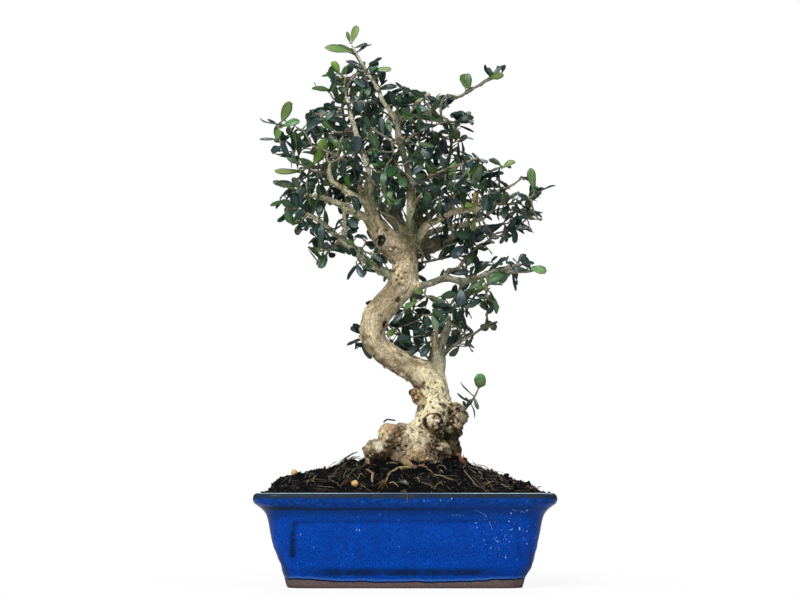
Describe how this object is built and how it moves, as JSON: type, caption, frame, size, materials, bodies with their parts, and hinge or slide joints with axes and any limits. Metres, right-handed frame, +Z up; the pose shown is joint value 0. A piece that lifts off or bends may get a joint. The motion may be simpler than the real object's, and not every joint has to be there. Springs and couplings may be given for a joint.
{
  "type": "olive bonsai",
  "caption": "Olive bonsai with a gnarled S-curved trunk, burled base and loose crown of small dark leaves, planted in a rounded rectangular blue-glazed ceramic pot.",
  "frame": {"origin": "centre of the pot's footprint, on the surface it stands on", "axes": "+Z up the trunk, +X along the pot's long side to the right of its front, +Y from the pot's front to its back"},
  "size_m": [0.2006, 0.1504, 0.39],
  "materials": {
    "glaze": "gloss",
    "bark": "matte",
    "foliage": "satin",
    "young_foliage": "satin",
    "soil": "matte",
    "mesh_plastic": "matte",
    "fertiliser": "satin"
  },
  "bodies": {
    "root": {"pot": "glaze", "drainage_mesh_left": "mesh_plastic", "drainage_mesh_right": "mesh_plastic", "trunk_and_branches": "bark", "soil": "soil", "fertiliser_prill_1": "fertiliser", "fertiliser_prill_2": "fertiliser", "fertiliser_prill_3": "fertiliser", "leafy_shoot_01": "foliage", "leafy_shoot_02": "foliage", "leafy_shoot_03": "foliage", "leafy_shoot_04": "foliage", "leafy_shoot_05": "foliage", "leafy_shoot_06": "foliage", "leafy_shoot_07": "foliage", "leafy_shoot_08": "foliage", "leafy_shoot_09": "foliage", "leafy_shoot_10": "foliage", "leafy_shoot_11": "foliage", "leafy_shoot_12": "foliage", "leafy_shoot_13": "foliage", "leafy_shoot_14": "foliage", "leafy_shoot_15": "foliage", "leafy_shoot_16": "foliage", "leafy_shoot_17": "foliage", "leafy_shoot_18": "foliage", "leafy_shoot_19": "foliage", "leafy_shoot_20": "foliage", "leafy_shoot_21": "foliage", "leafy_shoot_22": "foliage", "leafy_shoot_23": "foliage", "leafy_shoot_24": "foliage", "leafy_shoot_25": "foliage", "leafy_shoot_26": "foliage", "leafy_shoot_27": "foliage", "leafy_shoot_28": "foliage", "leafy_shoot_29": "foliage", "leafy_shoot_30": "foliage", "leafy_shoot_31": "foliage", "leafy_shoot_32": "foliage", "leafy_shoot_33": "foliage", "leafy_shoot_34": "foliage", "leafy_shoot_35": "foliage", "leafy_shoot_36": "foliage", "leafy_shoot_37": "foliage", "leafy_shoot_38": "foliage", "leafy_shoot_39": "foliage", "base_sprout": "young_foliage"}
  },
  "joints": []
}
